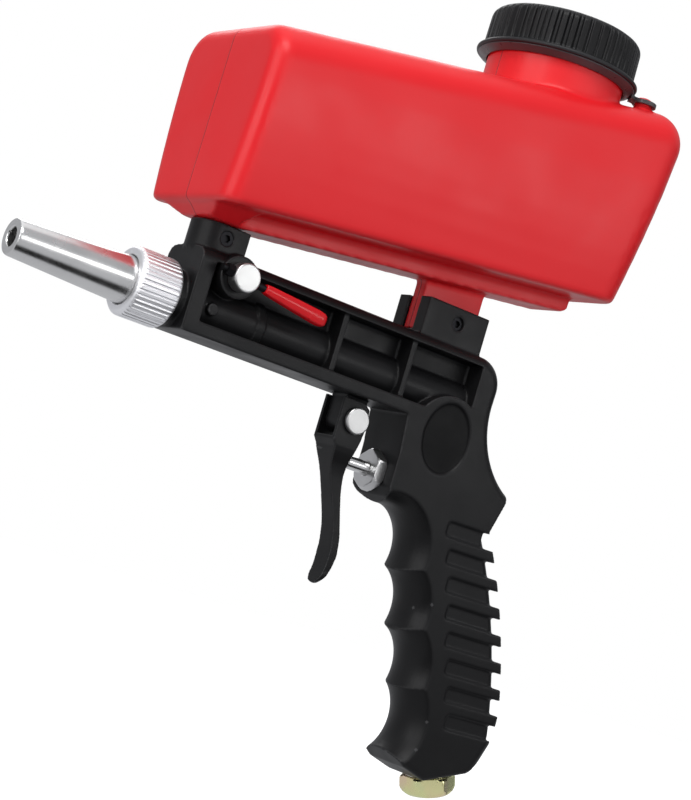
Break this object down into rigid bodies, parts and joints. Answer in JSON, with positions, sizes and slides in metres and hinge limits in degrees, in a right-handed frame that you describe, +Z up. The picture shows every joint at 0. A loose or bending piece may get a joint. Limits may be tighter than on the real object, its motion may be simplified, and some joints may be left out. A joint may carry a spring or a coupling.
{
  "type": "gravity-feed blasting gun",
  "caption": "Handheld gravity-feed abrasive blasting gun with a hopper, screw cap, feed valve lever, tapered nozzle, trigger and grip air inlet.",
  "frame": {"origin": "centre of the nozzle's mouth, on the barrel axis", "axes": "+X back along the barrel, +Z up to the hopper's cap, +Y across to the side away from the feed lever"},
  "size_m": [0.2936, 0.0776, 0.3541],
  "materials": {
    "body_black": "satin moulded, fine even grain",
    "hopper_red": "satin red moulding, soft sheen",
    "cap_black": "satin moulded",
    "tether_rubber": "smooth flexible rubber",
    "seal_rubber": "plain rubber",
    "jet_brass": "turned brass",
    "bright_pin": "bright plated steel",
    "bright_nut": "bright plated steel",
    "spring_steel": "drawn spring wire",
    "zinc_yellow": "yellow chromated zinc plating, slight rainbow",
    "dark_screw": "blackened steel",
    "nozzle_steel": "polished hardened steel",
    "nut_plated": "bright plated steel with a straight knurl",
    "lever_red": "glossy dipped vinyl sleeve"
  },
  "bodies": {
    "gun": {"gun_body": "body_black", "hopper": "hopper_red", "tether_strap": "tether_rubber", "nozzle_seal": "seal_rubber", "air_jet": "jet_brass", "trigger_pin": "bright_pin", "trigger_pin_clip": "bright_pin", "gland_nut": "bright_nut", "gland_packing": "seal_rubber", "valve_seat": "jet_brass", "valve_spring": "spring_steel", "inlet_washer": "bright_pin", "inlet_bushing": "zinc_yellow", "front_grub_screw": "dark_screw", "rear_grub_screw": "dark_screw"},
    "nozzle_body": {"nozzle": "nozzle_steel"},
    "nut_body": {"nozzle_nut": "nut_plated"},
    "cap_ring_body": {"tether_ring": "tether_rubber"},
    "cap_body": {"hopper_cap": "cap_black", "cap_seal": "seal_rubber"},
    "feed_valve": {"valve_spool": "bright_pin", "spool_seals": "seal_rubber", "spool_clip": "spring_steel", "lever_rod": "dark_screw", "lever_nut": "dark_screw", "lever_grip": "lever_red"},
    "trigger_body": {"trigger": "body_black"},
    "stem_body": {"valve_stem": "nozzle_steel", "valve_poppet": "seal_rubber"}
  },
  "joints": [
    {"name": "trigger_pull", "type": "hinge", "parent": "gun", "child": "trigger_body", "pos_m": [0.1748, 0, -0.0229], "axis": [0, -1, 0], "range_deg": [0, 15], "stiffness_Nm_per_rad": 0.6, "springref_deg": -20.05},
    {"name": "stem_slide", "type": "slide", "parent": "gun", "child": "stem_body", "axis": [1, 0, 0], "range_m": [0, 0.005], "deforming": ["valve_spring"]},
    {"name": "feed_lever_turn", "type": "hinge", "parent": "gun", "child": "feed_valve", "pos_m": [0.0945, 0, 0.0154], "axis": [0, 1, 0], "range_deg": [0, 90]},
    {"name": "cap_lift", "type": "slide", "parent": "gun", "child": "cap_ring_body", "axis": [0, 0, 1], "range_m": [0, 0.0101], "deforming": ["tether_strap"]},
    {"name": "cap_turn", "type": "hinge", "parent": "cap_ring_body", "child": "cap_body", "pos_m": [0.231, 0, 0.165], "axis": [0, 0, 1], "range_deg": [0, 900]},
    {"name": "nozzle_draw", "type": "slide", "parent": "gun", "child": "nozzle_body", "axis": [-1, 0, 0], "range_m": [0, 0.0101]},
    {"name": "nut_turn", "type": "hinge", "parent": "nozzle_body", "child": "nut_body", "pos_m": [0.062, 0, 0], "axis": [-1, 0, 0], "range_deg": [0, 1800]}
  ],
  "couplings": [
    {"joint": "stem_slide", "follows": "trigger_pull", "m_per_rad": 0.0185},
    {"joint": "cap_lift", "follows": "cap_turn", "m_per_rad": 0.00063662},
    {"joint": "nozzle_draw", "follows": "nut_turn", "m_per_rad": 0.00031831}
  ]
}
